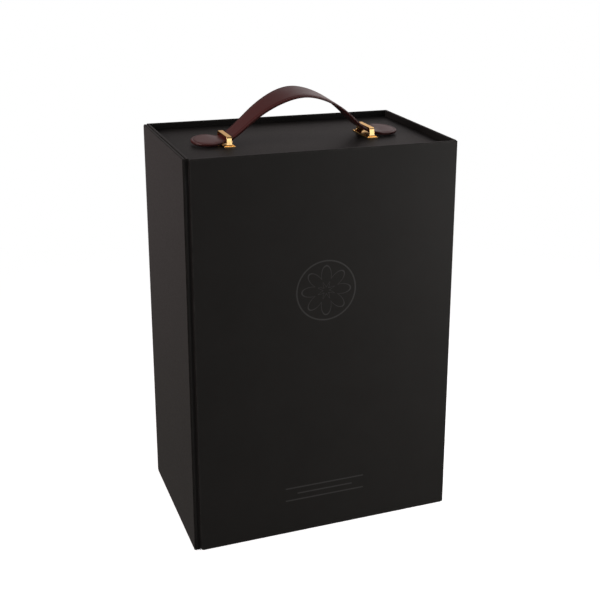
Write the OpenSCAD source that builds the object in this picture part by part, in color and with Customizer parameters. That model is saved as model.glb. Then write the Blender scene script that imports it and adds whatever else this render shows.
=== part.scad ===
// Collapsible rigid gift box: a book-style cover of wrapped greyboard around a
// folding tray, with a magnetic closure flap and a leather strap handle on top.
// The box stands upright. The origin is on the ground below its centre, the lid
// faces -Y, the spine is at +X and the closure flap at -X.

/* [Box] */
// Outside width of the closed box
box_w = 240; // [180:5:320]
// Outside depth of the closed box
box_d = 155; // [120:5:220]
// Outside height of the boards
box_h = 350; // [250:10:420]
// Thickness of a wrapped cover board
cover_t = 2.5; // [2:0.25:4]
// Thickness of a wrapped tray board
wall_t = 2.5; // [2.5:0.25:4]
// How far the end walls lie below the cover's edges
recess = 6; // [3:0.5:12]
// Rounding of a wrapped board's long edges
wrap_r = 0.6; // [0.3:0.1:1]
// Rounding of the cover's free corners
corner_r = 3; // [1:0.5:6]

/* [Folds] */
// Gutter between the lid and the flap
flap_gutter = 2.5; // [2:0.25:4]
// Gutter between the lid and the spine
spine_gutter = 2; // [1.5:0.25:4]
// Play between the closed lid and the front edges of the tray
lid_gap = 0.6; // [0.5:0.1:1.5]
// Play between the closed flap's lining and the left wall
flap_gap = 0.2; // [0.1:0.05:0.6]
// Play between the tray's front plane and the spine's front edge
spine_gap = 0.5; // [0.4:0.1:1]
// Height of the lid and the flap above the ground
lid_lift = 0.5; // [0.3:0.1:1.5]
// How far the flap stops short of the back
flap_short = 1; // [0:0.5:10]
// Thickness of the covering paper at a fold
fold_t = 0.5; // [0.3:0.1:0.8]

/* [Lining] */
// Thickness of a lining sheet
lining_t = 0.3; // [0.2:0.05:0.5]
// Margin of turned-in paper that a lining leaves bare
lining_margin = 3; // [2:0.5:10]
// Width of each leg of the paper strips that hinge the end walls
strip_w = 15; // [10:1:25]
// How far a hinge strip stops short of each end of its fold
strip_inset = 14; // [8:1:30]

/* [Ears] */
// Thickness of an ear
ear_t = 1.5; // [1:0.25:2.5]
// Length of an ear along the side wall
ear_len = 45; // [30:1:70]
// Set-back of an ear from the tray's front and back
ear_inset = 3; // [2:0.5:8]
// Set-back added at the ear's free end by its slanted cuts
ear_slant = 8; // [4:1:16]
// Thickness of the double-sided tape
tape_t = 0.3; // [0.2:0.05:0.5]
// Width of the tape
tape_w = 20; // [10:1:28]
// Length of the tape
tape_len = 100; // [50:5:110]

/* [Magnets] */
// Diameter of a magnet and of its keeper
magnet_d = 15; // [10:1:20]
// Thickness of a magnet and of its keeper
magnet_t = 1.5; // [1:0.1:1.6]
// Distance of the magnets from the flap's top and bottom
magnet_end = 85; // [50:5:110]
// Distance of the magnets from the flap's free edge
magnet_edge = 16; // [12:1:40]

/* [Strap] */
// Width of the strap at its crown
strap_w = 36; // [31:1:40]
// Width of the strap where it passes through its loops
neck_w = 27; // [24:1:30]
// Thickness of the strap
strap_t = 2.25; // [1.5:0.25:3]
// Diameter of a round tab at the strap's ends
tab_d = 33.5; // [33:0.5:40]
// Play between a tab's shoulders and its loop's legs or feet
tab_gap = 0.3; // [0.2:0.1:3]
// Height of the strap's arch above its flat ends
arch_rise = 39; // [25:0.5:50]
// Bending radius of the strap at its crown
crown_r = 49; // [45:1:60]
// Bending radius of the strap at its loops
seat_r = 12; // [8:1:16]
// How far outside a loop's centre the strap starts to rise
rise_lead = 6; // [4:0.5:8]
// Play between the strap and its base plates
strap_gap = 0.1; // [0:0.05:0.3]

/* [Loops] */
// Distance between the centres of the two loops
loop_pitch = 131; // [124:1:134]
// Width of a loop's bar and legs along the strap
loop_w = 4.5; // [3:0.5:6]
// Thickness of a loop's metal
loop_t = 1.5; // [1:0.1:2]
// Play between the strap's edge and a leg
leg_gap = 0.5; // [0.3:0.1:1.5]
// Play between the strap and the bar above it
bar_gap = 0.6; // [0.4:0.1:2]
// Width of a leg's flared foot
foot_w = 9; // [6:0.5:9.5]
// Outer radius of a loop's two bends
bar_r = 2.1; // [2.1:0.1:3]
// Thickness of the foot's edge below its flare
foot_edge = 0.6; // [0.3:0.1:1]
// Height of the flare at the foot
flare_h = 3; // [1.5:0.5:4]
// Width of a base plate along the strap
plate_w = 10; // [10:0.5:14]
// How far a base plate reaches past the legs
plate_reach = 3.5; // [2.5:0.5:6]
// Thickness of a base plate
plate_t = 0.8; // [0.5:0.1:1.2]
// Thickness of a backing plate
backing_t = 0.6; // [0.5:0.1:1]
// How far a backing plate reaches past the bent prongs
backing_margin = 1.5; // [0.5:0.5:4]
// Width of a prong along the strap
prong_w = 3.5; // [2:0.5:4]
// Length of a prong's bent end
prong_len = 8; // [5:0.5:10]
// Play around a prong in its slots
slot_gap = 0.1; // [0.05:0.05:0.3]

/* [Hidden] */
$fn = 64;

// Small sizes that every piece shares
overcut = 1;
seam = 0.05;
butt_r = 0.01;
fold_gap = 0.3;
pocket_gap = 0.1;

// Colours
paper = [0.13, 0.125, 0.12];
lining_paper = [0.16, 0.155, 0.15];
leather = [0.33, 0.23, 0.22];
gold = [0.85, 0.66, 0.25];
steel = [0.62, 0.62, 0.6];
tape_film = [0.8, 0.78, 0.7];

// Planes of the cover
left = -box_w / 2;
right = box_w / 2;
front = -box_d / 2;
back = box_d / 2;
flap_inner = left + cover_t;
lid_inner = front + cover_t;
back_inner = back - cover_t;
spine_inner = right - cover_t;
lid_left = flap_inner + flap_gutter;
lid_right = right - spine_gutter;
lid_h = box_h - lid_lift;
flap_front = lid_inner;
flap_back = back - flap_short;

// Planes of the tray
tray_front = lid_inner + lid_gap;
tray_left = flap_inner + lining_t + flap_gap;
wall_inner = tray_left + wall_t;
spine_front = tray_front + spine_gap;
top_face = box_h - recess;
ceiling = top_face - wall_t;
floor_z = recess + wall_t;

// Lined faces inside the tray
left_lined = wall_inner + lining_t;
right_lined = spine_inner - lining_t;
back_lined = back_inner - lining_t;

// Half the length of a tab's chord at a distance from the strap's middle
function half_chord(y) = sqrt(max(0, tab_d * tab_d / 4 - y * y));

// Handle
loop_x = loop_pitch / 2;
strap_z = top_face + plate_t + strap_gap + strap_t / 2;
leg_y = neck_w / 2 + leg_gap;
loop_half = leg_y + loop_t;
plate_half = loop_half + plate_reach;
plate_top = top_face + plate_t;
backing_half = loop_half + prong_len + backing_margin;
backing_bottom = ceiling - backing_t;
tab_x = loop_x + tab_gap
    + max(loop_w / 2 + half_chord(neck_w / 2), foot_w / 2 + half_chord(leg_y));
strap_half = tab_x + tab_d / 2;
rise_x = loop_x + rise_lead;
taper_x = loop_x - foot_w / 2;

// Slope of the strap's straight stretch between its two bends
bend_sum = crown_r + seat_r;
centre_rise = arch_rise - bend_sum;
centre_gap = sqrt(rise_x * rise_x + centre_rise * centre_rise);
slope = atan2(centre_rise, rise_x) + asin(bend_sum / centre_gap);
crown_z = strap_z + arch_rise;

// Highest place of the strap under a loop's bar, on its straight stretch
seat_top_r = seat_r - strap_t / 2;
strap_under_bar = strap_z + seat_r - seat_top_r * cos(slope)
    + (rise_lead + loop_w / 2 - seat_top_r * sin(slope)) * tan(slope);
bar_top = strap_under_bar + bar_gap + loop_t;

// Points on an arc, from angle a0 to a1
function arc(cx, cy, r, a0, a1, n) =
    [for (i = [0:n]) let (a = a0 + (a1 - a0) * i / n) [cx + r * cos(a), cy + r * sin(a)]];

// Outline of a rectangle from [x0, y0] to [x1, y1] with a radius for each side
module rounded_outline(x0, y0, x1, y1, r_left, r_right, n = 5) {
    polygon(concat(
        arc(x0 + r_left, y0 + r_left, r_left, 180, 270, n),
        arc(x1 - r_right, y0 + r_right, r_right, 270, 360, n),
        arc(x1 - r_right, y1 - r_right, r_right, 0, 90, n),
        arc(x0 + r_left, y1 - r_left, r_left, 90, 180, n)
    ));
}

// A board that faces along Y, with rounded corners and wrapped long edges
module board_xz(x0, x1, y0, y1, z0, z1, r_left, r_right) {
    intersection() {
        translate([0, y1, 0]) rotate([90, 0, 0]) linear_extrude(y1 - y0)
            rounded_outline(x0, z0, x1, z1, r_left, r_right);
        translate([0, 0, z0]) linear_extrude(z1 - z0)
            rounded_outline(x0, y0, x1, y1, wrap_r, wrap_r, 3);
    }
}

// A board that faces along X, with the first radius at its front edge
module board_yz(x0, x1, y0, y1, z0, z1, r_front, r_back) {
    intersection() {
        translate([x0, 0, 0]) rotate([90, 0, 90]) linear_extrude(x1 - x0)
            rounded_outline(y0, z0, y1, z1, r_front, r_back);
        translate([0, 0, z0]) linear_extrude(z1 - z0)
            rounded_outline(x0, y0, x1, y1, wrap_r, wrap_r, 3);
    }
}

// A plain sheet or strip between two corners
module sheet(low, high) {
    translate(low) cube(high - low);
}

// A disc on the X axis, for a magnet, a keeper or its pocket
module disc_x(x, y, z, d, t) {
    translate([x, y, z]) rotate([0, 90, 0]) cylinder(d = d, h = t);
}

// Heights and depth at which the magnets sit
magnet_zs = [lid_lift + magnet_end, box_h - magnet_end];
magnet_y = flap_back - magnet_edge;

// Cover

module lid() {
    color(paper)
        board_xz(lid_left, lid_right, front, lid_inner, lid_lift, box_h, corner_r, wrap_r);
}

module lid_lining() {
    color(lining_paper) sheet(
        [lid_left + lining_margin, lid_inner, lid_lift + lining_margin],
        [lid_right - lining_margin, lid_inner + lining_t, box_h - lining_margin]);
}

// Paper that rounds the corner from the lid's face to the spine's
module lid_hinge_web() {
    bend = spine_gutter;
    color(paper) translate([0, 0, lid_lift + wrap_r]) linear_extrude(lid_h - 2 * wrap_r)
        polygon(concat(
            [[lid_right + seam, front + fold_t]],
            arc(right - bend, front + bend, bend - fold_t, 275, 360, 6),
            [[right - fold_t, spine_front - seam], [right, spine_front - seam]],
            arc(right - bend, front + bend, bend, 360, 275, 6),
            [[lid_right + seam, front]]
        ));
}

module closure_flap() {
    color(paper) difference() {
        board_yz(left, flap_inner, flap_front, flap_back, lid_lift, box_h, wrap_r, corner_r);
        for (z = magnet_zs)
            disc_x(flap_inner - magnet_t, magnet_y, z, magnet_d + 2 * pocket_gap, magnet_t + overcut);
    }
}

module flap_lining() {
    color(lining_paper) sheet(
        [flap_inner, flap_front + lining_margin, lid_lift + lining_margin],
        [flap_inner + lining_t, flap_back - lining_margin, box_h - lining_margin]);
}

// Paper sunk into the gutter between the flap's front edge and the lid
module flap_hinge_web() {
    inner_y = lid_inner - seam;
    outer_y = inner_y - fold_t;
    color(paper) translate([0, 0, lid_lift + wrap_r]) linear_extrude(lid_h - 2 * wrap_r)
        polygon([
            [flap_inner - wrap_r, inner_y], [lid_left - seam, inner_y],
            [lid_left - seam, outer_y], [flap_inner - wrap_r, outer_y]
        ]);
}

module magnet(i) {
    color(steel) disc_x(flap_inner - magnet_t, magnet_y, magnet_zs[i], magnet_d, magnet_t);
}
module upper_magnet() { magnet(1); }
module lower_magnet() { magnet(0); }

module spine_panel() {
    color(paper)
        board_yz(spine_inner, right, spine_front, back_inner, 0, box_h, wrap_r, butt_r);
}

module back_panel() {
    color(paper)
        board_xz(tray_left, right, back_inner, back, 0, box_h, wrap_r, wrap_r);
}

// Tray

module left_wall() {
    color(paper) difference() {
        board_yz(tray_left, wall_inner, tray_front, back_inner, 0, box_h, wrap_r, butt_r);
        for (z = magnet_zs)
            disc_x(keeper_x, magnet_y, z, magnet_d + 2 * pocket_gap, wall_t);
    }
}

// Skin of board that is left outside a keeper's pocket
keeper_skin = 0.5;
keeper_x = tray_left + keeper_skin;

module keeper(i) {
    color(steel) disc_x(keeper_x, magnet_y, magnet_zs[i], magnet_d, magnet_t);
}
module upper_keeper() { keeper(1); }
module lower_keeper() { keeper(0); }

// An end wall between the left wall and the spine
module end_wall(z) {
    sheet([wall_inner, tray_front, z], [spine_inner, back_inner, z + wall_t]);
}

module top_wall() {
    color(paper) difference() {
        end_wall(ceiling);
        for (side = [-1, 1]) prong_slots(side, ceiling - overcut, top_face + overcut);
    }
}

module bottom_wall() {
    color(paper) end_wall(recess);
}

module spine_lining() {
    color(lining_paper) sheet(
        [right_lined, spine_front + lining_margin, floor_z], [spine_inner, back_inner, ceiling]);
}

module left_wall_lining() {
    color(lining_paper) sheet(
        [wall_inner, spine_front + lining_margin, floor_z], [left_lined, back_inner, ceiling]);
}

module back_lining() {
    color(lining_paper) sheet([left_lined, back_lined, floor_z], [right_lined, back_inner, ceiling]);
}

// An L of gummed paper in the corner of an end wall and the back. up is 1 for
// the floor and -1 for the ceiling.
module hinge_strip(z, up) {
    x0 = left_lined + strip_inset;
    x1 = right_lined - strip_inset;
    color(lining_paper) translate([x0, 0, z]) rotate([90, 0, 90]) linear_extrude(x1 - x0)
        polygon([
            [back_lined, 0], [back_lined - strip_w, 0], [back_lined - strip_w, up * lining_t],
            [back_lined - lining_t, up * lining_t], [back_lined - lining_t, up * strip_w],
            [back_lined, up * strip_w]
        ]);
}
module top_hinge_strip() { hinge_strip(ceiling, -1); }
module bottom_hinge_strip() { hinge_strip(floor_z, 1); }

// Ears: side is -1 at the left wall and 1 at the spine. up is as for the strips.

function lined_x(side) = side < 0 ? left_lined : right_lined;
function end_z(up) = up > 0 ? floor_z : ceiling;

module ear(side, up) {
    y0 = tray_front + ear_inset;
    y1 = back_lined - ear_inset;
    inner = lined_x(side) - side * (tape_t + ear_t);
    outer = lined_x(side) - side * tape_t;
    root = end_z(up) + up * fold_gap;
    tip = root + up * ear_len;
    color(paper) translate([min(inner, outer), 0, 0]) rotate([90, 0, 90]) linear_extrude(ear_t)
        polygon([
            [y0, root], [y1, root],
            [y1 - ear_slant, tip], [y0 + ear_slant, tip]
        ]);
}
module top_left_ear() { ear(-1, -1); }
module top_right_ear() { ear(1, -1); }
module bottom_left_ear() { ear(-1, 1); }
module bottom_right_ear() { ear(1, 1); }

module tape(side, up) {
    middle_z = end_z(up) + up * (fold_gap + ear_len / 2);
    middle_y = (tray_front + back_lined) / 2;
    x = side < 0 ? left_lined : right_lined - tape_t;
    color(tape_film) sheet(
        [x, middle_y - tape_len / 2, middle_z - tape_w / 2],
        [x + tape_t, middle_y + tape_len / 2, middle_z + tape_w / 2]);
}
module top_left_tape() { tape(-1, -1); }
module top_right_tape() { tape(1, -1); }
module bottom_left_tape() { tape(-1, 1); }
module bottom_right_tape() { tape(1, 1); }

// Handle

// Strap's half section along X, offset from its centreline by s, from tip to crown
function strap_edge(s) = concat(
    [[-strap_half - overcut, strap_z + s]],
    arc(-rise_x, strap_z + seat_r, seat_r - s, 270, 270 + slope, 8),
    arc(0, crown_z - crown_r, crown_r + s, 90 + slope, 90, 18)
);

function mirrored(points) = [for (i = [len(points) - 2:-1:0]) [-points[i][0], points[i][1]]];
function reversed(points) = [for (i = [len(points) - 1:-1:0]) points[i]];
function full_edge(s) = concat(strap_edge(s), mirrored(strap_edge(s)));

// Half the strap's width between its tabs, which tapers from the crown to the loops
function half_width(x) =
    neck_w / 2 + (strap_w - neck_w) / 4 * (1 + cos(180 * min(1, abs(x) / taper_x)));

// Strap's outline from above: the tapered strip and its two round tabs
module strap_outline(n = 10) {
    near_side = concat(
        [[-tab_x, -neck_w / 2]],
        [for (i = [-n:n]) [taper_x * i / n, -half_width(taper_x * i / n)]],
        [[tab_x, -neck_w / 2]]
    );
    far_side = [for (p = reversed(near_side)) [p[0], -p[1]]];
    union() {
        polygon(concat(near_side, far_side));
        for (side = [-1, 1]) translate([side * tab_x, 0]) circle(d = tab_d);
    }
}

// One strip of leather: the arched section cut to the strap's outline
module handle_strap() {
    reach = max(tab_d, strap_w) / 2 + overcut;
    color(leather) intersection() {
        translate([0, reach, 0]) rotate([90, 0, 0]) linear_extrude(2 * reach)
            polygon(concat(full_edge(strap_t / 2), reversed(full_edge(-strap_t / 2))));
        translate([0, 0, top_face]) linear_extrude(crown_z + strap_t - top_face) strap_outline();
    }
}

// Slots for the two prongs of a loop, from z0 to z1
module prong_slots(side, z0, z1) {
    for (end = [-1, 1])
        translate([
            side * loop_x - prong_w / 2 - slot_gap,
            end * (leg_y + loop_t / 2) - loop_t / 2 - slot_gap,
            z0
        ]) cube([prong_w + 2 * slot_gap, loop_t + 2 * slot_gap, z1 - z0]);
}

// Side outline of the bridge, an arch that runs on below its feet to be cut there
module bridge_outline() {
    below = plate_top - overcut - bar_r;
    inner_r = bar_r - loop_t;
    difference() {
        rounded_outline(-loop_half, below, loop_half, bar_top, bar_r, bar_r, 6);
        rounded_outline(-leg_y, below - overcut, leg_y, bar_top - loop_t, inner_r, inner_r, 4);
        translate([-loop_half, below - overcut]) square([2 * loop_half, plate_top - below + overcut]);
    }
}

// A leg's flared foot, seen along Y
module foot_outline() {
    polygon([
        [-foot_w / 2, plate_top], [foot_w / 2, plate_top],
        [foot_w / 2, plate_top + foot_edge], [loop_w / 2, plate_top + flare_h],
        [-loop_w / 2, plate_top + flare_h], [-foot_w / 2, plate_top + foot_edge]
    ]);
}

// A bridge loop: a bar on two legs with flared feet, and prongs that pass through
// the panel and are bent outwards under the backing plate
module bridge_loop(side) {
    prong_bend = loop_t / 2;
    prong_z = backing_bottom - prong_bend;
    color(gold) translate([side * loop_x, 0, 0]) union() {
        translate([-loop_w / 2, 0, 0]) rotate([90, 0, 90]) linear_extrude(loop_w) bridge_outline();
        for (end = [-1, 1]) {
            translate([0, end > 0 ? loop_half : -leg_y, 0]) rotate([90, 0, 0]) linear_extrude(loop_t)
                foot_outline();
            translate([-prong_w / 2, end > 0 ? leg_y : -loop_half, prong_z])
                cube([prong_w, loop_t, plate_top + foot_edge - prong_z]);
            translate([-prong_w / 2, end > 0 ? leg_y : -leg_y - prong_len, prong_z])
                cube([prong_w, prong_len, prong_bend]);
        }
    }
}
module left_loop() { bridge_loop(-1); }
module right_loop() { bridge_loop(1); }

module base_plate(side) {
    color(gold) difference() {
        translate([side * loop_x, 0, top_face]) linear_extrude(plate_t)
            rounded_outline(-plate_w / 2, -plate_half, plate_w / 2, plate_half, 1, 1, 4);
        prong_slots(side, top_face - overcut, plate_top + overcut);
    }
}
module left_base_plate() { base_plate(-1); }
module right_base_plate() { base_plate(1); }

module backing_plate(side) {
    color(steel) difference() {
        translate([side * loop_x, 0, backing_bottom]) linear_extrude(backing_t)
            rounded_outline(-plate_w / 2, -backing_half, plate_w / 2, backing_half, 1, 1, 4);
        prong_slots(side, backing_bottom - overcut, ceiling + overcut);
    }
}
module left_backing_plate() { backing_plate(-1); }
module right_backing_plate() { backing_plate(1); }

lid();
lid_lining();
lid_hinge_web();
closure_flap();
flap_lining();
flap_hinge_web();
upper_magnet();
lower_magnet();
spine_panel();
back_panel();
left_wall();
top_wall();
bottom_wall();
spine_lining();
back_lining();
left_wall_lining();
upper_keeper();
lower_keeper();
top_hinge_strip();
bottom_hinge_strip();
top_left_ear();
top_right_ear();
bottom_left_ear();
bottom_right_ear();
top_left_tape();
top_right_tape();
bottom_left_tape();
bottom_right_tape();
handle_strap();
left_loop();
right_loop();
left_base_plate();
right_base_plate();
left_backing_plate();
right_backing_plate();
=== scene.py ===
import bisect
import math

import bmesh
import bpy
from mathutils import Matrix, Vector


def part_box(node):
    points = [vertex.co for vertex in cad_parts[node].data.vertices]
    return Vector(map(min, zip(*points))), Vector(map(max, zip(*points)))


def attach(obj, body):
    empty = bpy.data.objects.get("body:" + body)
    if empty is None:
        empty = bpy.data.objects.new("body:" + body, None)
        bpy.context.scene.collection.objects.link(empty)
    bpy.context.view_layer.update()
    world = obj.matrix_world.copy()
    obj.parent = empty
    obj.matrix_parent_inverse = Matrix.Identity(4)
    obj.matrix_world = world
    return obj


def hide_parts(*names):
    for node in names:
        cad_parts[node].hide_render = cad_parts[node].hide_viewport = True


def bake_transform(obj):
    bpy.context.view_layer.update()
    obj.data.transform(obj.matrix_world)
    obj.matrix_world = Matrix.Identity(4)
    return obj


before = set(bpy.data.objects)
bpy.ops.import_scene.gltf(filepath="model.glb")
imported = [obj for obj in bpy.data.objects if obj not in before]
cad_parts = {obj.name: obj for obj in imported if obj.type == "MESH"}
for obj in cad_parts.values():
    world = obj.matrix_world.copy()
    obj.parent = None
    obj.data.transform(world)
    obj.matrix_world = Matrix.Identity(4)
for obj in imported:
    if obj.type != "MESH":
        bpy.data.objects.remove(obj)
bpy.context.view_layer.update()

# The left wall, the back panel and the spine are greyboards under one sheet of black
# paper, folded over their edges and glued. The sheet runs round both back corners,
# and the boards meet there in mitres.
left_low, left_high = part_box("left_wall")
back_low, back_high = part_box("back_panel")
spine_low, spine_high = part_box("spine_panel")
board_height = back_high.z
fold_radius = 0.0010
wrap_radius = 0.0006
wrap_steps = 3


def round_edges(mesh, edges, radius, steps):
    """Bevels edges, and marks the new faces as folded paper."""
    folded = mesh.faces.layers.int.get("folded") or mesh.faces.layers.int.new("folded")
    made = bmesh.ops.bevel(
        mesh, geom=edges, offset=radius, offset_type="OFFSET", segments=steps,
        profile=0.5, affect="EDGES", material=-1, clamp_overlap=True)
    for face in made["faces"]:
        face[folded] = 1


def cut_across(mesh, axis, places):
    """Adds loops across a board at places along an axis."""
    normal = Vector((0, 0, 0))
    normal[axis] = 1
    for place in places:
        bmesh.ops.bisect_plane(
            mesh, geom=mesh.verts[:] + mesh.edges[:] + mesh.faces[:],
            plane_co=normal * place, plane_no=normal, dist=1e-6)


def cuts_between(low, high, edge, pitch):
    """Places for loops: one close to each edge, and even ones between."""
    count = max(1, round((high - low) / pitch))
    inner = [low + (high - low) * i / count for i in range(1, count)]
    return [low + edge] + inner + [high - edge]


def mark_rims(mesh):
    """Stores how close each point is to a fold, for the wear along the edges."""
    folded = mesh.faces.layers.int.get("folded")
    rim = mesh.verts.layers.float.new("rim")
    for vert in mesh.verts:
        vert[rim] = 1.0 if any(face[folded] for face in vert.link_faces) else 0.0


def make_piece(name, mesh, material, sharp_angle=40, even_shading=True):
    """Turns a bmesh into an object, with the shading of its flat faces kept even."""
    data = bpy.data.meshes.new(name)
    mesh.to_mesh(data)
    mesh.free()
    data.materials.append(material)
    data.shade_smooth()
    data.set_sharp_from_angle(angle=math.radians(sharp_angle))
    piece = bpy.data.objects.new(name, data)
    bpy.context.scene.collection.objects.link(piece)
    if even_shading:
        shading = piece.modifiers.new("even shading", "WEIGHTED_NORMAL")
        shading.keep_sharp = True
    return piece


def stand_for(piece, body, node):
    """Puts a piece on a body in place of its CAD node, which it hides."""
    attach(piece, body)
    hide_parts(node)


def cover(nodes, material):
    """Gives CAD nodes that stay in view a better material."""
    for node in nodes:
        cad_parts[node].data.materials.clear()
        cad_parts[node].data.materials.append(material)


def new_group(name, inputs, outputs):
    """A shader node group with its sockets, and its input and output nodes."""
    group = bpy.data.node_groups.new(name, "ShaderNodeTree")
    for socket, kind, value in inputs:
        made = group.interface.new_socket(socket, in_out="INPUT", socket_type=kind)
        if value is not None:
            made.default_value = value
    for socket, kind in outputs:
        group.interface.new_socket(socket, in_out="OUTPUT", socket_type=kind)
    return group, group.nodes.new("NodeGroupInput"), group.nodes.new("NodeGroupOutput")


def add_node(tree, kind, links=None, **values):
    """A node with its settings, and with its inputs set or linked by name or number."""
    node = tree.nodes.new(kind)
    for key, value in values.items():
        setattr(node, key, value)
    for key, value in (links or {}).items():
        if isinstance(value, bpy.types.NodeSocket):
            tree.links.new(value, node.inputs[key])
        else:
            node.inputs[key].default_value = value
    return node


# Paper fibres: short strokes in two directions and slow cloudiness over the sheet
fibres, fibre_in, fibre_out = new_group(
    "paper_fibres",
    [("Position", "NodeSocketVector", None), ("Fibre Size", "NodeSocketFloat", 0.0006)],
    [("Height", "NodeSocketFloat"), ("Cloud", "NodeSocketFloat")])
per_metre = add_node(
    fibres, "ShaderNodeMath", {0: 1.0, 1: fibre_in.outputs["Fibre Size"]}, operation="DIVIDE")
in_fibres = add_node(
    fibres, "ShaderNodeVectorMath",
    {0: fibre_in.outputs["Position"], "Scale": per_metre.outputs[0]}, operation="SCALE")
strokes = []
for turn, stretch in (((0.4, 0.2, 0.9), (1.0, 0.35, 0.35)), ((1.1, 0.7, -0.5), (0.35, 1.0, 0.4))):
    laid = add_node(
        fibres, "ShaderNodeMapping",
        {"Vector": in_fibres.outputs[0], "Rotation": turn, "Scale": stretch})
    strokes.append(add_node(
        fibres, "ShaderNodeTexNoise",
        {"Vector": laid.outputs[0], "Scale": 1.0, "Detail": 3.0, "Roughness": 0.65}))
felted = add_node(
    fibres, "ShaderNodeMath",
    {0: strokes[0].outputs["Fac"], 1: strokes[1].outputs["Fac"]}, operation="ADD")
cloud = add_node(
    fibres, "ShaderNodeTexNoise",
    {"Vector": fibre_in.outputs["Position"], "Scale": 28.0, "Detail": 4.0, "Roughness": 0.55})
fibres.links.new(felted.outputs[0], fibre_out.inputs["Height"])
fibres.links.new(cloud.outputs["Fac"], fibre_out.inputs["Cloud"])

# Edge wear: rubbed streaks along the folds, broken up so that they come and go
edge_wear, wear_in, wear_out = new_group(
    "edge_wear",
    [("Position", "NodeSocketVector", None), ("Rim", "NodeSocketFloat", 0.0),
     ("Amount", "NodeSocketFloat", 0.5)],
    [("Worn", "NodeSocketFloat")])
patches = add_node(
    edge_wear, "ShaderNodeTexNoise",
    {"Vector": wear_in.outputs["Position"], "Scale": 90.0, "Detail": 5.0, "Roughness": 0.7})
in_patches = add_node(
    edge_wear, "ShaderNodeMapRange",
    {"Value": patches.outputs["Fac"], "From Min": 0.35, "From Max": 0.75})
sharp_rim = add_node(
    edge_wear, "ShaderNodeMath", {0: wear_in.outputs["Rim"], 1: 2.5}, operation="POWER")
rubbed = add_node(
    edge_wear, "ShaderNodeMath", {0: sharp_rim.outputs[0], 1: in_patches.outputs[0]}, operation="MULTIPLY")
worn = add_node(
    edge_wear, "ShaderNodeMath",
    {0: rubbed.outputs[0], 1: wear_in.outputs["Amount"]}, operation="MULTIPLY", use_clamp=True)
edge_wear.links.new(worn.outputs[0], wear_out.inputs["Worn"])


def paper_material(
        name, dark, light, worn_colour, wear, roughness, gloss, printed=None, ink=(0, 0, 0)):
    """Dyed paper: clouded colour, a fibre surface, rubbed folds and perhaps an ornament."""
    material = bpy.data.materials.new(name)
    material.use_nodes = True
    tree = material.node_tree
    shader = tree.nodes["Principled BSDF"]
    place = tree.nodes.new("ShaderNodeTexCoord").outputs["Object"]
    rim = add_node(tree, "ShaderNodeAttribute", attribute_name="rim").outputs["Fac"]
    surface = add_node(tree, "ShaderNodeGroup", node_tree=fibres)
    rubbing = add_node(tree, "ShaderNodeGroup", node_tree=edge_wear)
    tree.links.new(place, surface.inputs["Position"])
    tree.links.new(place, rubbing.inputs["Position"])
    tree.links.new(rim, rubbing.inputs["Rim"])
    rubbing.inputs["Amount"].default_value = wear
    clouded = add_node(
        tree, "ShaderNodeMix",
        {"Factor": surface.outputs["Cloud"], "A": (*dark, 1), "B": (*light, 1)}, data_type="RGBA")
    coloured = add_node(
        tree, "ShaderNodeMix",
        {"Factor": rubbing.outputs["Worn"], "A": clouded.outputs["Result"],
         "B": (*worn_colour, 1)}, data_type="RGBA")
    if printed:
        print_mask = add_node(tree, "ShaderNodeGroup", node_tree=printed)
        tree.links.new(place, print_mask.inputs["Position"])
        coloured = add_node(
            tree, "ShaderNodeMix",
            {"Factor": print_mask.outputs["Printed"], "A": coloured.outputs["Result"],
             "B": (*ink, 1)}, data_type="RGBA")
    rough = add_node(
        tree, "ShaderNodeMapRange",
        {"Value": surface.outputs["Height"], "From Min": 0.6, "From Max": 1.4,
         "To Min": roughness - 0.06, "To Max": roughness + 0.06})
    bump = add_node(
        tree, "ShaderNodeBump",
        {"Height": surface.outputs["Height"], "Strength": 0.35, "Distance": 0.00006})
    tree.links.new(coloured.outputs["Result"], shader.inputs["Base Color"])
    tree.links.new(rough.outputs[0], shader.inputs["Roughness"])
    tree.links.new(bump.outputs[0], shader.inputs["Normal"])
    shader.inputs["Specular IOR Level"].default_value = gloss
    return material


covering = {
    "dark": (0.0135, 0.0129, 0.0122), "light": (0.0170, 0.0162, 0.0154),
    "worn_colour": (0.050, 0.048, 0.046), "wear": 0.45, "roughness": 0.47, "gloss": 0.062}
black_paper = paper_material("black_paper", **covering)

# Outline of the three boards from above, from the left wall's front edge to the spine's
around = [
    (left_low.x, left_low.y), (left_high.x, left_low.y), (left_high.x, back_low.y),
    (spine_low.x, back_low.y), (spine_low.x, spine_low.y), (spine_high.x, spine_low.y),
    (spine_high.x, back_high.y), (left_low.x, back_high.y)]
sleeve = bmesh.new()
plan = sleeve.faces.new([sleeve.verts.new((x, y, 0.0)) for x, y in around])
risen = bmesh.ops.extrude_face_region(sleeve, geom=[plan])
bmesh.ops.translate(
    sleeve, vec=(0, 0, board_height),
    verts=[part for part in risen["geom"] if isinstance(part, bmesh.types.BMVert)])
bmesh.ops.recalc_face_normals(sleeve, faces=sleeve.faces[:])
upright = [edge for edge in sleeve.edges if abs(edge.verts[0].co.z - edge.verts[1].co.z) > 0.1]
round_edges(
    sleeve, [edge for edge in upright if edge.verts[0].co.y > back_high.y - 1e-5],
    fold_radius, 4)
front_ends = [
    edge for edge in sleeve.edges
    if abs(edge.verts[0].co.z - edge.verts[1].co.z) > 0.1 and edge.verts[0].co.y < -0.05
    and edge.verts[0].co.x < spine_high.x - 1e-5]
rims = [edge for edge in sleeve.edges if abs(edge.verts[0].co.z - edge.verts[1].co.z) < 1e-6]
round_edges(sleeve, front_ends + rims, wrap_radius, wrap_steps)
near_fold = 0.0022
cut_across(sleeve, 2, cuts_between(0.0, board_height, near_fold, 0.025))
cut_across(sleeve, 1, cuts_between(left_low.y, back_low.y - 0.001, near_fold, 0.025))
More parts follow.
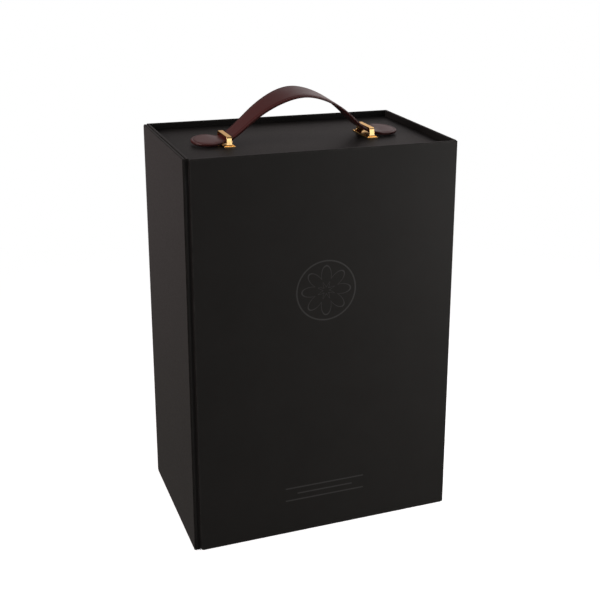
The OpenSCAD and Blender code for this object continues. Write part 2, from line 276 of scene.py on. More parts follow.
cut_across(sleeve, 0, cuts_between(left_high.x + 0.001, spine_low.x - 0.001, near_fold, 0.025))
bow = 0.00025
for vert in sleeve.verts:
    up = math.sin(math.pi * vert.co.z / board_height)
    if vert.co.y > back_low.y - 1e-5 and left_high.x < vert.co.x < spine_low.x:
        along = (vert.co.x - left_high.x) / (spine_low.x - left_high.x)
        vert.co.y -= bow * up * math.sin(math.pi * along)
mark_rims(sleeve)
for piece_name, node, corner, outward in (
        ("left_wall_board", "left_wall", (left_low.x, back_high.y, 0), (1, 1, 0)),
        ("spine_board", "spine_panel", (spine_high.x, back_high.y, 0), (-1, 1, 0)),
        ("back_board", "back_panel", None, None)):
    part = sleeve.copy()
    mitres = [(corner, outward)] if corner else [
        ((left_low.x, back_high.y, 0), (-1, -1, 0)), ((spine_high.x, back_high.y, 0), (1, -1, 0))]
    for point, direction in mitres:
        cut = bmesh.ops.bisect_plane(
            part, geom=part.verts[:] + part.edges[:] + part.faces[:],
            plane_co=point, plane_no=direction, clear_outer=True, dist=1e-6)
        bmesh.ops.holes_fill(
            part, edges=[line for line in cut["geom_cut"] if isinstance(line, bmesh.types.BMEdge)],
            sides=0)
    board = make_piece(piece_name, part, black_paper)
    stand_for(board, "carcass", node)
sleeve.free()

# Top and bottom walls: greyboards in the same paper, set in below the rims and glued
# along their hinge strips. The strap's loops pass through the top one.


def wrapped_board(node, thin, corners, square=None, pitch=0.025):
    """A covered board the size of its CAD node. thin is the axis of its thickness, corners
    gives a radius for each side pair, such as (-1, 1), of the other two axes, and square
    is a point on the one edge that stays square for a fold."""
    low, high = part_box(node)
    mesh = bmesh.new()
    bmesh.ops.create_cube(mesh, size=1.0)
    bmesh.ops.scale(mesh, vec=high - low, verts=mesh.verts)
    bmesh.ops.translate(mesh, vec=(low + high) / 2, verts=mesh.verts)
    middle = (low + high) / 2
    wide = [axis for axis in range(3) if axis != thin]
    through = {}
    for edge in mesh.edges:
        a, b = (vert.co for vert in edge.verts)
        if abs(a[thin] - b[thin]) > 1e-6:
            through[tuple(1 if a[axis] > middle[axis] else -1 for axis in wide)] = edge
    for sides, radius in corners.items():
        round_edges(mesh, [through[sides]], radius, 6)
        through = {key: edge for key, edge in through.items() if edge.is_valid}
    faces = [face for face in mesh.faces if abs(face.normal[thin]) > 0.99]
    rounded = {edge for face in faces for edge in face.edges}
    if square:
        rounded -= {edge for edge in rounded if abs(edge.verts[0].co.x - square[0]) < 1e-5
                    and abs(edge.verts[1].co.x - square[0]) < 1e-5
                    and abs(edge.verts[0].co.y - square[1]) < 1e-5
                    and abs(edge.verts[0].co.z - edge.verts[1].co.z) > 0.1}
    round_edges(mesh, list(rounded), wrap_radius, wrap_steps)
    for axis in wide:
        cut_across(mesh, axis, cuts_between(low[axis], high[axis], near_fold, pitch))
    mark_rims(mesh)
    return mesh


small = 0.0009
square_corners = {(-1, -1): small, (-1, 1): small, (1, -1): small, (1, 1): small}
for node in ("top_wall", "bottom_wall"):
    board = make_piece(node + "_board", wrapped_board(node, 2, square_corners), black_paper)
    stand_for(board, "carcass", node)

# Lining sheets: black uncoated paper, glued over the boards' turned-in edges. The
# hinge strips are gummed paper in the corners of the end walls and the back.
lining_paper = paper_material(
    "lining_paper", dark=(0.0165, 0.0158, 0.0152), light=(0.0225, 0.0215, 0.0205),
    worn_colour=(0.04, 0.04, 0.04), wear=0.0, roughness=0.8, gloss=0.12)
cover(("spine_lining", "left_wall_lining", "back_lining", "lid_lining", "flap_lining",
       "top_hinge_strip", "bottom_hinge_strip"), lining_paper)

# Ears: thinner covered boards at both ends of each end wall, folded against the side
# walls and held there by strips of double-sided tape.
cover(("top_left_ear", "top_right_ear", "bottom_left_ear", "bottom_right_ear"), black_paper)

tape_film = bpy.data.materials.new("tape_film")
tape_film.use_nodes = True
tape_tree = tape_film.node_tree
tape_shader = tape_tree.nodes["Principled BSDF"]
tape_place = tape_tree.nodes.new("ShaderNodeTexCoord").outputs["Object"]
tape_bubbles = add_node(
    tape_tree, "ShaderNodeTexNoise", {"Vector": tape_place, "Scale": 160.0, "Detail": 3.0})
tape_tint = add_node(
    tape_tree, "ShaderNodeMix",
    {"Factor": tape_bubbles.outputs["Fac"], "A": (0.62, 0.56, 0.42, 1), "B": (0.78, 0.74, 0.62, 1)},
    data_type="RGBA")
tape_tree.links.new(tape_tint.outputs["Result"], tape_shader.inputs["Base Color"])
tape_shader.inputs["Roughness"].default_value = 0.4
cover(("top_left_tape", "top_right_tape", "bottom_left_tape", "bottom_right_tape"), tape_film)

# Magnets and keepers: plated steel discs, pressed into pockets of the flap and of the
# left wall. The backing plates under the top wall are of the same steel.
plated_steel = bpy.data.materials.new("plated_steel")
plated_steel.use_nodes = True
steel_tree = plated_steel.node_tree
steel_shader = steel_tree.nodes["Principled BSDF"]
steel_place = steel_tree.nodes.new("ShaderNodeTexCoord").outputs["Object"]
steel_rolled = add_node(
    steel_tree, "ShaderNodeMapping", {"Vector": steel_place, "Scale": (60.0, 2400.0, 2400.0)})
steel_grain = add_node(
    steel_tree, "ShaderNodeTexNoise",
    {"Vector": steel_rolled.outputs[0], "Scale": 1.0, "Detail": 4.0})
steel_rough = add_node(
    steel_tree, "ShaderNodeMapRange",
    {"Value": steel_grain.outputs["Fac"], "To Min": 0.22, "To Max": 0.42})
steel_tree.links.new(steel_rough.outputs[0], steel_shader.inputs["Roughness"])
steel_shader.inputs["Base Color"].default_value = (0.55, 0.55, 0.54, 1)
steel_shader.inputs["Metallic"].default_value = 1.0
cover(("upper_magnet", "lower_magnet", "upper_keeper", "lower_keeper",
       "left_backing_plate", "right_backing_plate"), plated_steel)

# Loops: bridges of polished gilt metal on thin base plates. Each leg flares into a
# foot, and a prong runs from it through the top wall to be bent under the backing plate.
gilt = bpy.data.materials.new("gilt_metal")
gilt.use_nodes = True
gilt_tree = gilt.node_tree
gilt_shader = gilt_tree.nodes["Principled BSDF"]
gilt_place = gilt_tree.nodes.new("ShaderNodeTexCoord").outputs["Object"]
gilt_smears = add_node(
    gilt_tree, "ShaderNodeTexNoise",
    {"Vector": gilt_place, "Scale": 420.0, "Detail": 5.0, "Roughness": 0.6})
gilt_rough = add_node(
    gilt_tree, "ShaderNodeMapRange",
    {"Value": gilt_smears.outputs["Fac"], "From Min": 0.3, "From Max": 0.7,
     "To Min": 0.10, "To Max": 0.22})
gilt_tint = add_node(
    gilt_tree, "ShaderNodeMix",
    {"Factor": gilt_smears.outputs["Fac"], "A": (0.88, 0.55, 0.21, 1), "B": (0.96, 0.66, 0.31, 1)},
    data_type="RGBA")
gilt_bump = add_node(
    gilt_tree, "ShaderNodeBump",
    {"Height": gilt_smears.outputs["Fac"], "Strength": 0.12, "Distance": 0.00003})
gilt_tree.links.new(gilt_tint.outputs["Result"], gilt_shader.inputs["Base Color"])
gilt_tree.links.new(gilt_rough.outputs[0], gilt_shader.inputs["Roughness"])
gilt_tree.links.new(gilt_bump.outputs[0], gilt_shader.inputs["Normal"])
gilt_shader.inputs["Metallic"].default_value = 1.0
gilt_shader.inputs["Specular Tint"].default_value = (1.0, 0.86, 0.64, 1)

loop_metal = 0.0015
loop_width = 0.0045
foot_width = 0.0090
# Height above the base plate, width of the leg and how far it spreads outwards
flare = (
    (0.0004, 0.0088, 0.00115), (0.0006, 0.0076, 0.00100), (0.0009, 0.0063, 0.00085),
    (0.0013, 0.0053, 0.00072), (0.0019, 0.0047, 0.00062), (0.0026, loop_width, 0.00050))
inner_bend = 0.0006
prong_width = 0.0035
prong_reach = 0.0080
# How far a prong runs up into its leg, and the rounding of the metal's edges
prong_seat = 0.0003
edge_ease = 0.0004
plate_corner = 0.0010
plate_ease = 0.0003
for side in ("left", "right"):
    plate_low, plate_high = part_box(side + "_base_plate")
    loop_low, loop_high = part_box(side + "_loop")
    mid_x = (plate_low.x + plate_high.x) / 2
    plate_top = plate_high.z
    bar_top = loop_high.z
    leg_outer = loop_high.y - prong_reach + loop_metal
    leg_inner = leg_outer - loop_metal
    prong_end = loop_low.z

    loop = bmesh.new()
    foot = bmesh.ops.create_grid(loop, x_segments=1, y_segments=1, size=0.5)["verts"]
    foot_deep = loop_metal + flare[0][2]
    bmesh.ops.scale(loop, vec=(foot_width, foot_deep, 1), verts=foot)
    bmesh.ops.translate(loop, vec=(mid_x, -leg_inner - foot_deep / 2, plate_top), verts=foot)
    bmesh.ops.bevel(
        loop, geom=loop.verts[:], offset=edge_ease, offset_type="OFFSET", segments=3, profile=0.5,
        affect="VERTICES", clamp_overlap=True)
    head = loop.faces[:]

    def grow(shift, width=None, spread=0.0):
        """Extrudes the leg's end face by a shift, to a new width and outward spread."""
        edges = [edge for face in head for edge in face.edges]
        made = bmesh.ops.extrude_face_region(
            loop, geom=head + edges + [vert for face in head for vert in face.verts])
        fresh = [part for part in made["geom"] if isinstance(part, bmesh.types.BMVert)]
        bmesh.ops.translate(loop, vec=shift, verts=fresh)
        if width:
            now = [max(vert.co[axis] for vert in fresh) - min(vert.co[axis] for vert in fresh)
                   for axis in (0, 1)]
            bmesh.ops.scale(
                loop, vec=(width / now[0], (loop_metal + spread) / now[1], 1), verts=fresh,
                space=Matrix.Translation((-mid_x, leg_inner, 0)))
        head[:] = [part for part in made["geom"] if isinstance(part, bmesh.types.BMFace)]

    risen_by = 0.0
    for height, width, spread in flare:
        grow((0, 0, height - risen_by), width, spread)
        risen_by = height
    bend_z = bar_top - loop_metal - inner_bend
    grow((0, 0, bend_z - plate_top - risen_by), loop_width)
    turned = bmesh.ops.spin(
        loop, geom=head, cent=(mid_x, -leg_inner + inner_bend, bend_z), axis=(1, 0, 0),
        angle=-math.pi / 2, steps=6)
    head = [part for part in turned["geom_last"] if isinstance(part, bmesh.types.BMFace)]
    inside = [face for face in loop.faces if all(len(edge.link_faces) == 3 for edge in face.edges)]
    bmesh.ops.delete(loop, geom=inside, context="FACES_ONLY")
    grow((0, leg_inner - inner_bend, 0))
    bmesh.ops.delete(loop, geom=head, context="FACES_ONLY")
    bmesh.ops.mirror(
        loop, geom=loop.verts[:] + loop.edges[:] + loop.faces[:], merge_dist=1e-6, axis="Y")
    bmesh.ops.remove_doubles(loop, verts=loop.verts[:], dist=1e-6)
    bmesh.ops.dissolve_degenerate(loop, edges=loop.edges[:], dist=1e-7)
    bmesh.ops.recalc_face_normals(loop, faces=loop.faces[:])
    for end in (-1, 1):
        prong = bmesh.ops.create_cube(loop, size=1.0)["verts"]
        prong_top = plate_top + prong_seat
        bmesh.ops.scale(loop, vec=(prong_width, loop_metal, prong_top - prong_end), verts=prong)
        bmesh.ops.translate(
            loop, vec=(mid_x, end * (leg_inner + leg_outer) / 2, (prong_top + prong_end) / 2),
            verts=prong)
        tab = bmesh.ops.create_cube(loop, size=1.0)["verts"]
        bmesh.ops.scale(loop, vec=(prong_width, prong_reach, loop_metal / 2), verts=tab)
        bmesh.ops.translate(
            loop, vec=(mid_x, end * (leg_inner + prong_reach / 2), prong_end + loop_metal / 4), verts=tab)
    bridge = make_piece(side + "_bridge_loop", loop, gilt, 35)
    stand_for(bridge, "carcass", side + "_loop")

    plate = bmesh.new()
    bmesh.ops.create_cube(plate, size=1.0)
    bmesh.ops.scale(plate, vec=plate_high - plate_low, verts=plate.verts)
    bmesh.ops.translate(plate, vec=(plate_low + plate_high) / 2, verts=plate.verts)
    corners = [edge for edge in plate.edges if abs(edge.verts[0].co.z - edge.verts[1].co.z) > 1e-5]
    round_edges(plate, corners, plate_corner, 5)
    upper = [edge for edge in plate.edges if min(vert.co.z for vert in edge.verts) > plate_top - 1e-6]
    round_edges(plate, upper, plate_ease, 3)
    base = make_piece(side + "_loop_base", plate, gilt, 35)
    stand_for(base, "carcass", side + "_base_plate")

# Handle: one strip of two-ply leather with a round tab at each end. Its painted edges
# are rounded, and a creased line follows them on both faces; its groove is darkened as
# painted shade. It is threaded through the loops, and its tabs keep it from pulling out.
strap_low, strap_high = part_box("handle_strap")
crown_half_width = strap_high.y + 0.0014
neck_half_width = 0.0135
strap_thick = 0.0023
tab_radius = 0.0163
taper_end = 0.061
neck_start = 0.078
edge_steps = 24
# The arch's height, its fullness at the shoulders and at the crest, and its half length;
# how far the leather stands off its plates, and how far the arch leans to the front
arch_rise, shoulders, crest, arch_reach = 0.0386, 0.0048, -0.0012, 0.0713
stand_off = 0.0015
lean = math.radians(4.1)
tab_tilt = math.radians(4.5)
tilt_start, tilt_length = 0.0690, 0.010
right_fullness = 0.0013
droop_length, tip_droop = 0.014, 0.0004
flat_z = strap_low.z + strap_thick / 2 + stand_off
tip_x = strap_high.x - 0.0014


def arch_height(x):
    """Height of the leather's middle above its flat ends, at a distance from the crown."""
    turn = math.pi * min(1.0, x / arch_reach)
    return (arch_rise * (1 + math.cos(turn)) + shoulders * (1 - math.cos(2 * turn))
            + crest * (math.cos(turn) - math.cos(3 * turn))) / 2


arch_step = 0.00025
arch_line = [
    Vector((i * arch_step, arch_height(i * arch_step)))
    for i in range(round(arch_reach / arch_step) + 1)]
arch_lengths = [0.0]
for here, there in zip(arch_line, arch_line[1:]):
    arch_lengths.append(arch_lengths[-1] + (there - here).length)
half_length = arch_lengths[-1] + tip_x - arch_line[-1].x
tab_centre = half_length - tab_radius


def on_arch(along, lift=0.0):
    """Place on the bent strap of a point of the flat one, from its middle outwards."""
    if along >= arch_lengths[-1]:
        x = arch_line[-1].x + along - arch_lengths[-1]
        droop = max(0.0, (along - half_length + droop_length) / droop_length)
        return x, flat_z + lift - tip_droop * droop * droop
    i = min(bisect.bisect_right(arch_lengths, along) - 1, len(arch_line) - 2)
    part = (along - arch_lengths[i]) / (arch_lengths[i + 1] - arch_lengths[i])
    point = arch_line[i].lerp(arch_line[i + 1], part)
    before = arch_line[i] - arch_line[i - 1] if i else Vector((1, 0))
    after = arch_line[i + 1] - arch_line[i]
    way = (before.normalized().lerp(after.normalized(), part)).normalized()
    return point.x - lift * way.y, flat_z + point.y + lift * way.x


strap = bmesh.new()
neck = math.pi - math.asin(neck_half_width / tab_radius)
for sign in (-1, 1):
    first = strap.verts.new((
        sign * (tab_centre + tab_radius * math.cos(neck)), -sign * tab_radius * math.sin(neck), 0))
    bmesh.ops.spin(
        strap, geom=[first], cent=(sign * tab_centre, 0, 0), axis=(0, 0, 1), angle=2 * neck, steps=56)
ends = [vert for vert in strap.verts if len(vert.link_edges) == 1]
for sign in (-1, 1):
    line = [vert for vert in ends if vert.co.y * sign > 0]
    line.sort(key=lambda vert: vert.co.x)
    previous = line[0]
    for i in range(-edge_steps, edge_steps + 1):
        along = neck_start * i / edge_steps
        across = min(1.0, on_arch(abs(along))[0] / taper_end)
        wider = (crown_half_width - neck_half_width) * (1 + math.cos(math.pi * across)) / 2
        half = neck_half_width + wider
        added = strap.verts.new((along, sign * half, 0))
        strap.edges.new((previous, added))
        previous = added
    strap.edges.new((previous, line[1]))
bmesh.ops.contextual_create(strap, geom=strap.edges[:])
face = strap.faces[:][0]
face.normal_update()
if face.normal.z < 0:
    face.normal_flip()
# Distance in from the edge and height above the middle of the leather
leather_section = (
    (0.00006, 0.00043), (0.00025, 0.00082), (0.00052, 0.00101), (0.00090, 0.00108),
    (0.00165, 0.00109), (0.00190, 0.00101), (0.00215, 0.00087), (0.00240, 0.00087),
    (0.00265, 0.00101), (0.00290, 0.00110), (0.00550, 0.00113), (0.01000, 0.00115))
# Points at the bottom of the crease's groove are marked for painted shade.
crease_shade_layer = strap.verts.layers.float.new("crease_shade")
inward, raised = 0.0, 0.0
for offset, height in leather_section:
    bmesh.ops.inset_region(
        strap, faces=[face], thickness=offset - inward, depth=height - raised,
        use_boundary=True, use_even_offset=True, use_interpolate=True)
    inward, raised = offset, height
    for vert in face.verts:
        vert[crease_shade_layer] = 1.0 if 0.0020 < offset < 0.0025 else 0.0
bend_pitch = 0.0015
bend_count = round(half_length / bend_pitch)
cut_across(strap, 0, [i * bend_pitch + 0.00001 for i in range(-bend_count, bend_count + 1)])
cut_across(strap, 1, (-0.0025, 0.0025))
bmesh.ops.mirror(
    strap, geom=strap.verts[:] + strap.edges[:] + strap.faces[:], merge_dist=1e-7, axis="Z")
bmesh.ops.remove_doubles(strap, verts=strap.verts[:], dist=1e-7)
bmesh.ops.recalc_face_normals(strap, faces=strap.faces[:])
painted = strap.verts.layers.float.new("rim")
for vert in strap.verts:
    vert[painted] = max(0.0, 1 - abs(vert.co.z) / 0.00100)
    sign = 1 if vert.co.x > 0 else -1
    x, z = on_arch(abs(vert.co.x), vert.co.z)
    raised = min(1.0, max(0.0, (z - flat_z) / arch_rise))
    beyond = min(1.0, max(0.0, (x - tilt_start) / tilt_length))
    tilt = lean * raised * raised * (3 - 2 * raised) + tab_tilt * beyond * beyond * (3 - 2 * beyond)
    fuller = right_fullness * math.sin(math.pi * raised) if sign > 0 else 0.0
    leaned = Matrix.Rotation(tilt, 2) @ Vector((vert.co.y, z - flat_z + fuller))
    vert.co = (sign * x, leaned.x, flat_z + leaned.y)

leather = bpy.data.materials.new("strap_leather")
leather.use_nodes = True
leather_tree = leather.node_tree
leather_shader = leather_tree.nodes["Principled BSDF"]
leather_place = leather_tree.nodes.new("ShaderNodeTexCoord").outputs["Object"]
pebbles = add_node(
    leather_tree, "ShaderNodeTexVoronoi", {"Vector": leather_place, "Scale": 1300.0}, feature="F1")
pores = add_node(
    leather_tree, "ShaderNodeTexNoise",
    {"Vector": leather_place, "Scale": 2600.0, "Detail": 3.0, "Roughness": 0.6})
grain = add_node(
    leather_tree, "ShaderNodeMath",
    {0: pebbles.outputs["Distance"], 1: pores.outputs["Fac"]}, operation="ADD")
mottle = add_node(
    leather_tree, "ShaderNodeTexNoise",
    {"Vector": leather_place, "Scale": 70.0, "Detail": 5.0, "Roughness": 0.6})
dyed = add_node(
    leather_tree, "ShaderNodeMix",
    {"Factor": mottle.outputs["Fac"], "A": (0.066, 0.0118, 0.0106, 1), "B": (0.088, 0.0184, 0.0168, 1)},
    data_type="RGBA")
# Painted shade: the crease's groove is darkened where shade would fall in it.
crease_shade_mask = add_node(leather_tree, "ShaderNodeAttribute", attribute_name="crease_shade")
shaded_crease = add_node(
    leather_tree, "ShaderNodeMix",
    {"Factor": crease_shade_mask.outputs["Fac"], "A": dyed.outputs["Result"], "B": (0.020, 0.007, 0.007, 1)},
    data_type="RGBA")
edge_paint = add_node(leather_tree, "ShaderNodeAttribute", attribute_name="rim")
finished = add_node(
    leather_tree, "ShaderNodeMix",
    {"Factor": edge_paint.outputs["Fac"], "A": shaded_crease.outputs["Result"], "B": (0.032, 0.010, 0.009, 1)},
    data_type="RGBA")
leather_rough = add_node(
    leather_tree, "ShaderNodeMapRange",
    {"Value": mottle.outputs["Fac"], "From Min": 0.3, "From Max": 0.7, "To Min": 0.32, "To Max": 0.40})
leather_bump = add_node(
    leather_tree, "ShaderNodeBump", {"Height": grain.outputs[0], "Strength": 0.2, "Distance": 0.0001})
leather_tree.links.new(finished.outputs["Result"], leather_shader.inputs["Base Color"])
leather_tree.links.new(leather_rough.outputs[0], leather_shader.inputs["Roughness"])
leather_tree.links.new(leather_bump.outputs[0], leather_shader.inputs["Normal"])
leather_shader.inputs["Specular IOR Level"].default_value = 0.25
handle = make_piece("strap_handle", strap, leather, 60, even_shading=False)
stand_for(handle, "carcass", "handle_strap")

# Lid: the front cover board in the same black paper. Its free corners are rounded, and
# its covering runs on over both of its folds. A rosette in a ring and plain rules are
# printed on its face, a shade lighter than the paper.
rosette_height = 0.228
petal_middle, petal_swing, petal_half_line = 0.011, 0.011, 0.00055
core_middle, core_swing, core_half_line = 0.008, -0.005, 0.0004
ring_radius, ring_half_line = 0.0265, 0.0006
rules = ((0.045, 0.037), (0.039, 0.026), (0.033, 0.037))
lid_low, lid_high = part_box("lid")
ornament, ornament_in, ornament_out = new_group(
    "lid_ornament", [("Position", "NodeSocketVector", None)], [("Printed", "NodeSocketFloat")])


def figure(operation, *values):
    """A number of the ornament, worked out from others."""
    made = add_node(ornament, "ShaderNodeMath", dict(enumerate(values)), operation=operation)
    return made.outputs[0]


def within(value, middle, half):
    """1 where a value lies near a middle one, and 0 elsewhere."""
    return figure("LESS_THAN", figure("ABSOLUTE", figure("SUBTRACT", value, middle)), half)


on_lid = add_node(ornament, "ShaderNodeSeparateXYZ", {0: ornament_in.outputs["Position"]})
across, up = on_lid.outputs["X"], figure("SUBTRACT", on_lid.outputs["Z"], rosette_height)
radius = figure("SQRT", figure("ADD", figure("MULTIPLY", across, across), figure("MULTIPLY", up, up)))
petals = figure("ABSOLUTE", figure("COSINE", figure("MULTIPLY", figure("ARCTAN2", up, across), 4.0)))
petal_line = figure("MULTIPLY_ADD", petals, petal_swing, petal_middle)
core_line = figure("MULTIPLY_ADD", petals, core_swing, core_middle)
printed = within(radius, petal_line, petal_half_line)
printed = figure("MAXIMUM", printed, within(radius, core_line, core_half_line))
printed = figure("MAXIMUM", printed, within(radius, ring_radius, ring_half_line))
for height, reach in rules:
    on_rule = within(on_lid.outputs["Z"], height, ring_half_line)
    printed = figure("MAXIMUM", printed, figure("MULTIPLY", on_rule, within(across, 0.0, reach)))
front_only = figure("LESS_THAN", on_lid.outputs["Y"], lid_low.y + 0.0002)
ornament.links.new(figure("MULTIPLY", printed, front_only), ornament_out.inputs["Printed"])
lid_paper = paper_material("lid_paper", **covering, printed=ornament, ink=(0.040, 0.039, 0.038))
free_corner = 0.003
lid_corners = {
    (-1, -1): free_corner, (-1, 1): free_corner, (1, -1): small, (1, 1): small}
lid_mesh = wrapped_board("lid", 1, lid_corners, square=(lid_high.x, lid_low.y))
stand_for(make_piece("lid_board", lid_mesh, lid_paper), "lid", "lid")

# Closure flap: the cover board that folds round onto the left wall, with its rear
# corners rounded. Two magnets sit in it, under its lining.
flap_corners = {
    (1, -1): free_corner, (1, 1): free_corner, (-1, -1): small, (-1, 1): small}
flap_board = make_piece(
    "closure_flap_board", wrapped_board("closure_flap", 0, flap_corners), black_paper)
stand_for(flap_board, "flap", "closure_flap")


# Folds: the covering paper bends in a sunken gutter between lid and flap, and round the
# corner between lid and spine. It is glued to both boards.
def paper_fold(name, node, points, thickness, offset):
    """A folded strip of paper that stands on a line of points, as high as its CAD node."""
    low_z, high_z = (corner.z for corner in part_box(node))
    mesh = bmesh.new()
    line = [mesh.verts.new((x, y, low_z)) for x, y in points]
    edges = [mesh.edges.new(pair) for pair in zip(line, line[1:])]
    steps = 14
    for _ in range(steps):
        made = bmesh.ops.extrude_edge_only(mesh, edges=edges)
        bmesh.ops.translate(
            mesh, vec=(0, 0, (high_z - low_z) / steps),
            verts=[part for part in made["geom"] if isinstance(part, bmesh.types.BMVert)])
        edges = [part for part in made["geom"] if isinstance(part, bmesh.types.BMEdge)
                 and abs(part.verts[0].co.z - part.verts[1].co.z) < 1e-6]
    fold = make_piece(name, mesh, black_paper, even_shading=False)
    thick = fold.modifiers.new("paper", "SOLIDIFY")
    thick.thickness = thickness
    thick.offset = offset
    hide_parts(node)
    return fold


# The gutter's line from above, from the flap's edge down into the gutter and up to the lid's
gutter_line = (
    (-0.1192, -0.07535), (-0.1184, -0.07537), (-0.1178, -0.0753), (-0.1173, -0.07512),
    (-0.1167, -0.07502), (-0.1161, -0.07502), (-0.1156, -0.07515), (-0.11525, -0.0755),
    (-0.1152, -0.0762), (-0.1152, -0.0770))
gutter = paper_fold("flap_gutter_paper", "flap_hinge_web", gutter_line, 0.0003, 0.0)
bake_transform(gutter)

bend_radius = 0.002
bend_centre = (spine_high.x - bend_radius, lid_low.y + bend_radius)
outside = [
    (bend_centre[0] + bend_radius * math.sin(math.radians(a)),
     bend_centre[1] - bend_radius * math.cos(math.radians(a))) for a in range(0, 91, 10)]
outside.append((spine_high.x, spine_low.y))
lid_fold = paper_fold("lid_fold_paper", "lid_hinge_web", outside, 0.0005, 1.0)
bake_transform(lid_fold)

# Studio: a plain pale floor that fades to white, four soft lamps, and a camera at the
# photograph's viewing angle. What the paper and metal reflect is dim, as in a dark studio.
scene = bpy.context.scene
scene.view_settings.view_transform = "Standard"

camera_data = bpy.data.cameras.new("camera")
camera_data.sensor_width = 36.0
camera_data.lens = 64.98
camera_data.shift_x = -0.1
camera_data.shift_y = -0.1083
camera_data.clip_start = 0.05
camera_data.clip_end = 60.0
camera = bpy.data.objects.new("camera", camera_data)
scene.collection.objects.link(camera)
azimuth, elevation, roll = (math.radians(angle) for angle in (-22.43, 16.80, 0.95))
backward = Vector((
    math.sin(azimuth) * math.cos(elevation), -math.cos(azimuth) * math.cos(elevation),
    math.sin(elevation)))
level = (-backward).cross(Vector((0, 0, 1))).normalized()
upward = level.cross(-backward)
rolled = level * math.cos(roll) + upward * math.sin(roll)
tilted = upward * math.cos(roll) - level * math.sin(roll)
turned = Matrix((rolled, tilted, backward)).transposed().to_4x4()
camera_place = (-0.3056, -0.8908, 0.5398)
camera.matrix_world = Matrix.Translation(camera_place) @ turned
scene.camera = camera

floor_mesh = bmesh.new()
bmesh.ops.create_circle(floor_mesh, cap_ends=True, segments=96, radius=14.0)
floor_data = bpy.data.meshes.new("floor")
floor_mesh.to_mesh(floor_data)
floor_mesh.free()
floor = bpy.data.objects.new("floor", floor_data)
scene.collection.objects.link(floor)
floor_paint = bpy.data.materials.new("floor_paint")
floor_paint.use_nodes = True
floor_tree = floor_paint.node_tree
floor_tree.nodes.remove(floor_tree.nodes["Principled BSDF"])
floor_output = floor_tree.nodes["Material Output"]
floor_place = floor_tree.nodes.new("ShaderNodeTexCoord").outputs["Object"]
from_box = add_node(floor_tree, "ShaderNodeVectorMath", {0: floor_place}, operation="LENGTH")
far = add_node(
    floor_tree, "ShaderNodeMapRange",
    {"Value": from_box.outputs["Value"], "From Min": 0.25, "From Max": 0.9},
    interpolation_type="SMOOTHSTEP")
matt = add_node(floor_tree, "ShaderNodeBsdfDiffuse", {"Color": (0.86, 0.86, 0.86, 1)})
dull = add_node(floor_tree, "ShaderNodeBsdfDiffuse", {"Color": (0.55, 0.55, 0.55, 1)})
lift = add_node(floor_tree, "ShaderNodeEmission", {"Color": (1, 1, 1, 1), "Strength": 0.75})
lit = add_node(floor_tree, "ShaderNodeAddShader", {0: matt.outputs[0], 1: lift.outputs[0]})
white = add_node(floor_tree, "ShaderNodeEmission", {"Color": (1, 1, 1, 1), "Strength": 1.0})
faded = add_node(
    floor_tree, "ShaderNodeMixShader", {"Fac": far.outputs[0], 1: lit.outputs[0], 2: white.outputs[0]})
seen = floor_tree.nodes.new("ShaderNodeLightPath")
shown = add_node(
    floor_tree, "ShaderNodeMixShader",
    {"Fac": seen.outputs["Is Camera Ray"], 1: dull.outputs[0], 2: faded.outputs[0]})
# Paper seen at a low angle reflects the floor: dark near the box, light far behind it
distant = add_node(
    floor_tree, "ShaderNodeMapRange",
    {"Value": from_box.outputs["Value"], "From Min": 0.2, "From Max": 1.3})
sheen = add_node(
    floor_tree, "ShaderNodeMix",
    {"Factor": distant.outputs[0], "A": (0.29, 0.265, 0.25, 1), "B": (0.50, 0.43, 0.43, 1)},
    data_type="RGBA")
reflected = add_node(
    floor_tree, "ShaderNodeEmission", {"Color": sheen.outputs["Result"], "Strength": 1.0})
laid_floor = add_node(
    floor_tree, "ShaderNodeMixShader",
    {"Fac": seen.outputs["Is Glossy Ray"], 1: shown.outputs[0], 2: reflected.outputs[0]})
floor_tree.links.new(laid_floor.outputs[0], floor_output.inputs["Surface"])
floor_data.materials.append(floor_paint)

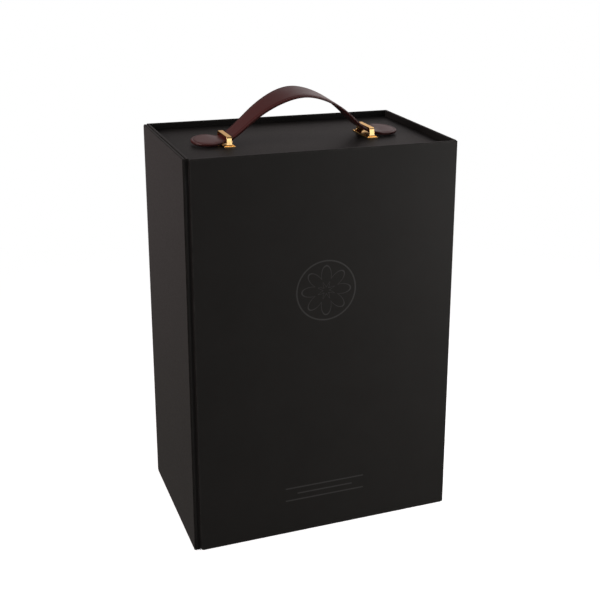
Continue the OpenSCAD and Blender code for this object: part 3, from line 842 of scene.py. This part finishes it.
world = bpy.data.worlds.new("studio")
scene.world = world
world.use_nodes = True
sky_tree = world.node_tree
backdrop = sky_tree.nodes["Background"]
sky_way = sky_tree.nodes.new("ShaderNodeTexCoord").outputs["Generated"]
sky_parts = add_node(sky_tree, "ShaderNodeSeparateXYZ", {0: sky_way})
sky_back = add_node(
    sky_tree, "ShaderNodeMapRange",
    {"Value": sky_parts.outputs["Y"], "From Min": -0.5, "From Max": 0.5})
sky_right = add_node(
    sky_tree, "ShaderNodeMapRange",
    {"Value": sky_parts.outputs["X"], "From Min": 0.0, "From Max": 0.45})
sky_behind = add_node(
    sky_tree, "ShaderNodeMix",
    {"Factor": sky_right.outputs[0], "A": (0.16, 0.148, 0.148, 1), "B": (0.84, 0.765, 0.765, 1)},
    data_type="RGBA")
sky_tint = add_node(
    sky_tree, "ShaderNodeMix",
    {"Factor": sky_back.outputs[0], "A": (0.10, 0.097, 0.097, 1), "B": sky_behind.outputs["Result"]},
    data_type="RGBA")
sky_seen = sky_tree.nodes.new("ShaderNodeLightPath")
sky_gloss = add_node(
    sky_tree, "ShaderNodeMix",
    {"Factor": sky_seen.outputs["Is Glossy Ray"], "A": (0.12, 0.12, 0.12, 1),
     "B": sky_tint.outputs["Result"]},
    data_type="RGBA")
sky_colour = add_node(
    sky_tree, "ShaderNodeMix",
    {"Factor": sky_seen.outputs["Is Camera Ray"], "A": sky_gloss.outputs["Result"], "B": (1, 1, 1, 1)},
    data_type="RGBA")
sky_tree.links.new(sky_colour.outputs["Result"], backdrop.inputs["Color"])
backdrop.inputs["Strength"].default_value = 1.0


def soft_lamp(name, place, target, size, power, colour=(1, 1, 1)):
    """A square softbox that looks at a point."""
    data = bpy.data.lights.new(name, "AREA")
    data.shape = "SQUARE"
    data.size = size
    data.energy = power
    data.color = colour
    lamp = bpy.data.objects.new(name, data)
    scene.collection.objects.link(lamp)
    look = (Vector(target) - Vector(place)).to_track_quat("-Z", "Y").to_matrix().to_4x4()
    lamp.matrix_world = Matrix.Translation(place) @ look
    return lamp


soft_lamp("key_left", (-0.85, -0.05, 0.66), (-0.05, 0, 0.32), 0.5, 5.2, (1.0, 0.87, 0.85))
soft_lamp("front_right", (0.52, -0.42, 0.22), (0.12, 0, 0.13), 0.35, 3.1, (1.0, 0.98, 0.96))
soft_lamp("glint", (0.44, -1.05, 0.44), (0.05, 0, 0.33), 0.6, 1.7)
soft_lamp("overhead", (0.8, 0.15, 1.2), (0.05, 0, 0.3), 0.8, 2.1, (1.0, 0.96, 0.96))
